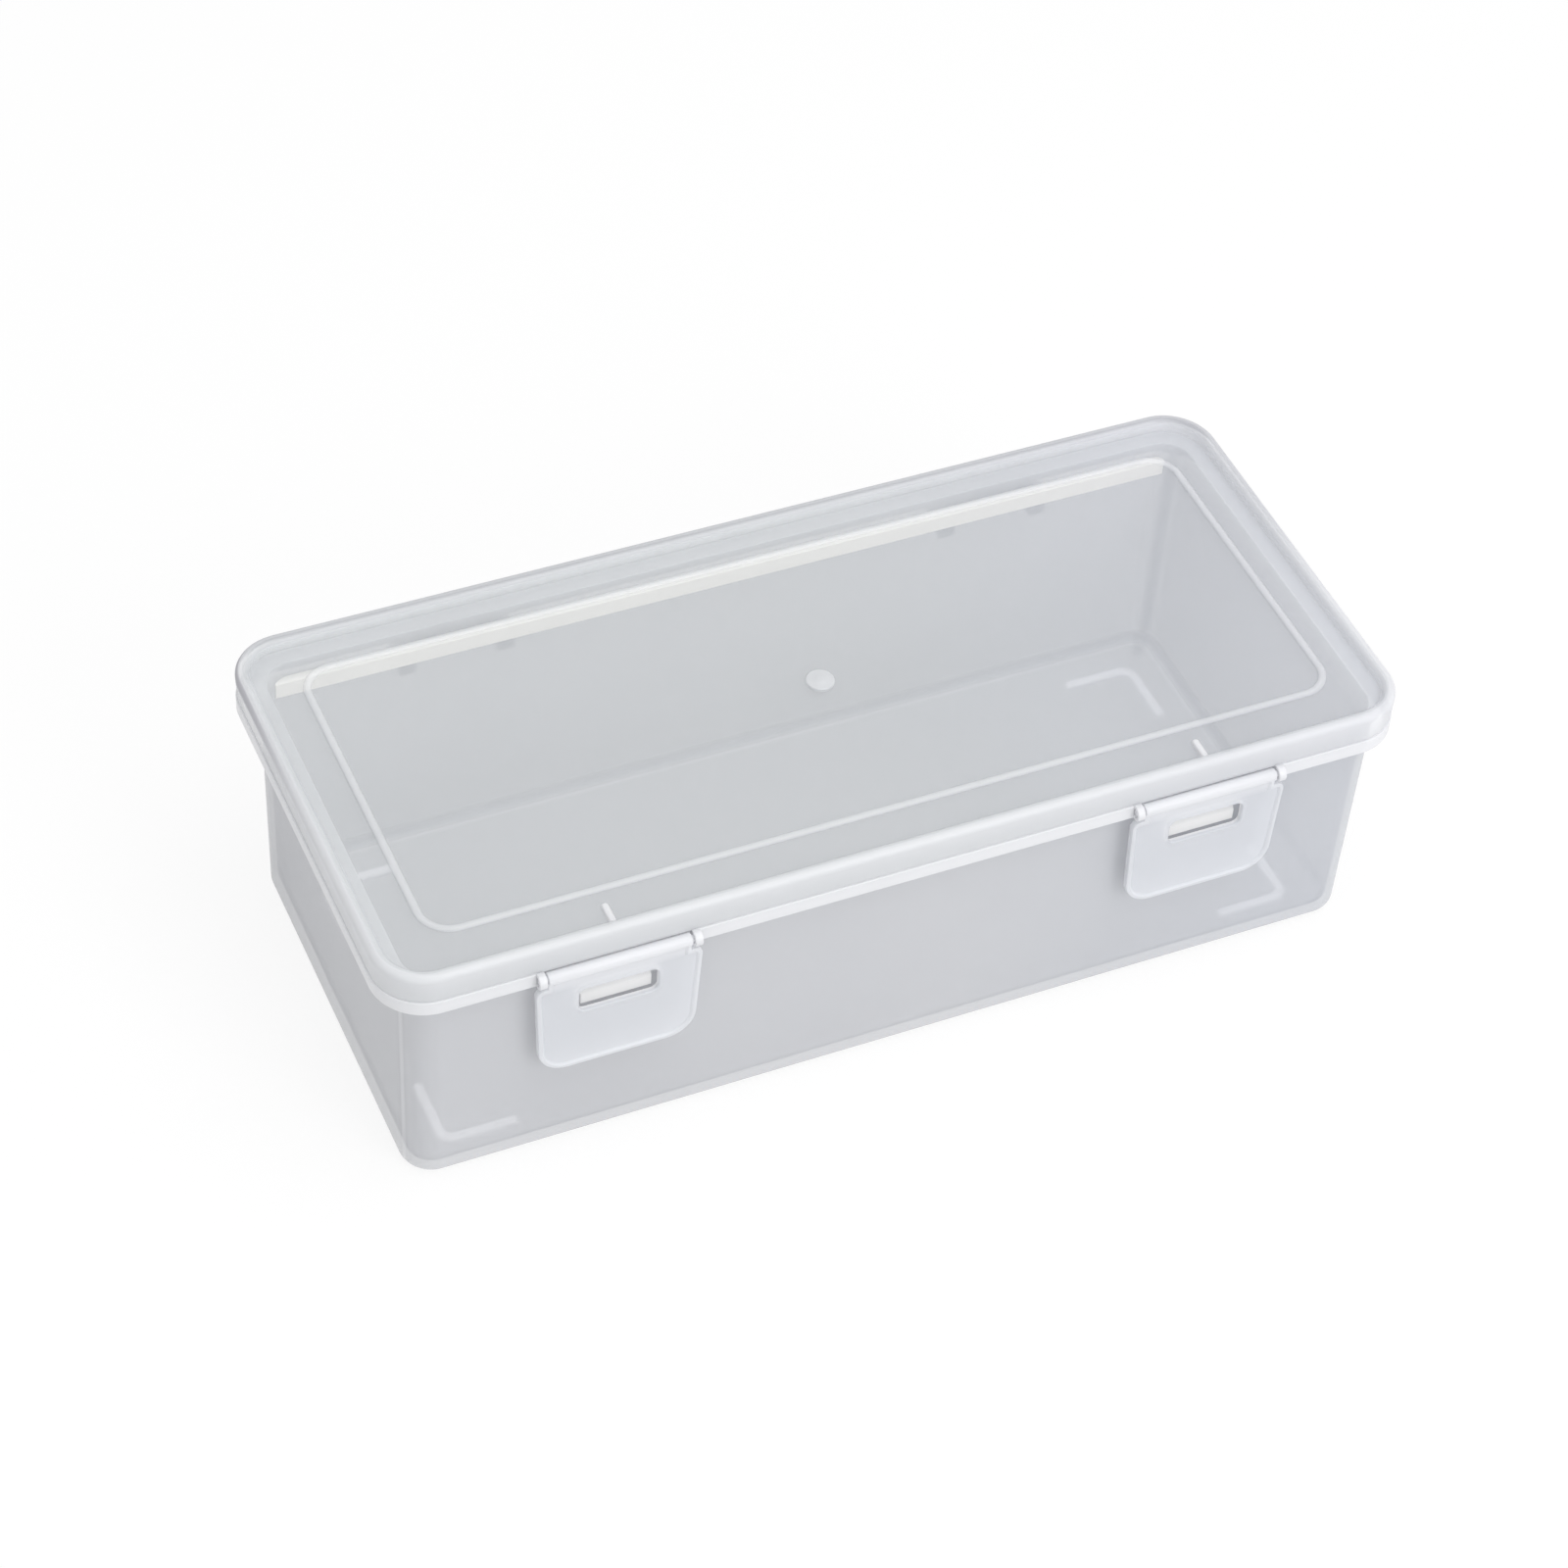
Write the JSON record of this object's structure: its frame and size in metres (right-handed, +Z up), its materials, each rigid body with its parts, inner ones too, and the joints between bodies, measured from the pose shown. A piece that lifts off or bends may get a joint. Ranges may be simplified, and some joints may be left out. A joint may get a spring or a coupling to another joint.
{
  "type": "storage box",
  "caption": "Long low box of translucent plastic with a lid hinged along the back and snap latches along the front edge, for small toiletries, cosmetics or stationery.",
  "frame": {"origin": "on the surface that the box stands on, under the middle of its bounding box", "axes": "+X along the box's length, to the right seen from the latches; +Y towards the rear hinge; +Z up"},
  "size_m": [0.18, 0.085, 0.0511],
  "materials": {
    "tray_plastic": "translucent polypropylene, satin",
    "lid_plastic": "translucent polypropylene, satin with a slight gloss",
    "latch_plastic": "translucent polypropylene, milky and satin"
  },
  "bodies": {
    "tray": {"tray": "tray_plastic"},
    "lid": {"lid": "lid_plastic"},
    "latch_left": {"latch_left": "latch_plastic"},
    "latch_right": {"latch_right": "latch_plastic"}
  },
  "joints": [
    {"name": "lid_hinge", "type": "hinge", "parent": "tray", "child": "lid", "pos_m": [0, 0.0409, 0.0409], "axis": [-1, 0, 0], "range_deg": [0, 180]},
    {"name": "latch_left_hinge", "type": "hinge", "parent": "lid", "child": "latch_left", "pos_m": [-0.052, -0.0411, 0.0444], "axis": [-1, 0, 0], "range_deg": [0, 150]},
    {"name": "latch_right_hinge", "type": "hinge", "parent": "lid", "child": "latch_right", "pos_m": [0.052, -0.0411, 0.0444], "axis": [-1, 0, 0], "range_deg": [0, 150]}
  ]
}
